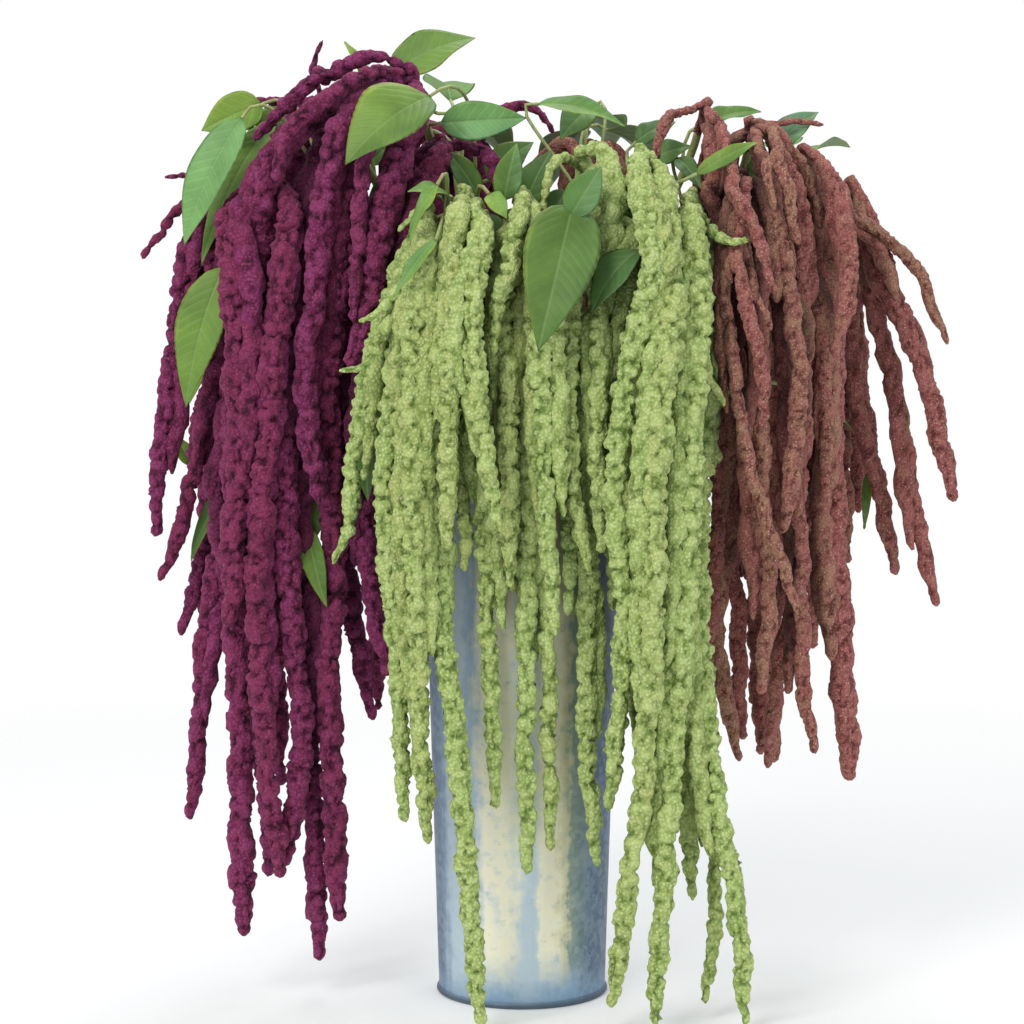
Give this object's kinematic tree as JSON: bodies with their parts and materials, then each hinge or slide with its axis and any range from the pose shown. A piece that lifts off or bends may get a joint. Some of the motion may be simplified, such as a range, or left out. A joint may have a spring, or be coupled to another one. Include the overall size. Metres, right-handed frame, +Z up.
{
  "type": "potted amaranth",
  "caption": "Cut hanging amaranth in magenta, light green and dusty rose, trailing from a tall tapered zinc bucket of water.",
  "frame": {"origin": "centre of the bucket's flat underside, on the floor", "axes": "+Z up, +X to the right of the front view (rose side), -Y toward the viewer (green side)"},
  "size_m": [0.8053, 0.419, 0.9523],
  "materials": {
    "zinc": "weathered galvanised, streaked",
    "water": "clear",
    "greenery": "matt leaf, lightly glossy on top",
    "magenta_tassels": "velvety florets",
    "green_tassels": "velvety florets",
    "rose_tassels": "velvety florets"
  },
  "bodies": {
    "root": {"bucket": "zinc", "water": "water", "magenta_stem_1": "greenery", "magenta_spray_1": "magenta_tassels", "magenta_stem_2": "greenery", "magenta_spray_2": "magenta_tassels", "magenta_stem_3": "greenery", "magenta_spray_3": "magenta_tassels", "magenta_stem_4": "greenery", "magenta_spray_4": "magenta_tassels", "magenta_stem_5": "greenery", "magenta_spray_5": "magenta_tassels", "magenta_stem_6": "greenery", "magenta_spray_6": "magenta_tassels", "magenta_stem_7": "greenery", "magenta_spray_7": "magenta_tassels", "green_stem_1": "greenery", "green_spray_1": "green_tassels", "green_stem_2": "greenery", "green_spray_2": "green_tassels", "green_stem_3": "greenery", "green_spray_3": "green_tassels", "green_stem_4": "greenery", "green_spray_4": "green_tassels", "green_stem_5": "greenery", "green_spray_5": "green_tassels", "green_stem_6": "greenery", "green_spray_6": "green_tassels", "rose_stem_1": "greenery", "rose_spray_1": "rose_tassels", "rose_stem_2": "greenery", "rose_spray_2": "rose_tassels", "rose_stem_3": "greenery", "rose_spray_3": "rose_tassels", "rose_stem_4": "greenery", "rose_spray_4": "rose_tassels", "rose_stem_5": "greenery", "rose_spray_5": "rose_tassels", "rose_stem_6": "greenery", "rose_spray_6": "rose_tassels", "rose_stem_7": "greenery", "rose_spray_7": "rose_tassels"}
  },
  "joints": []
}
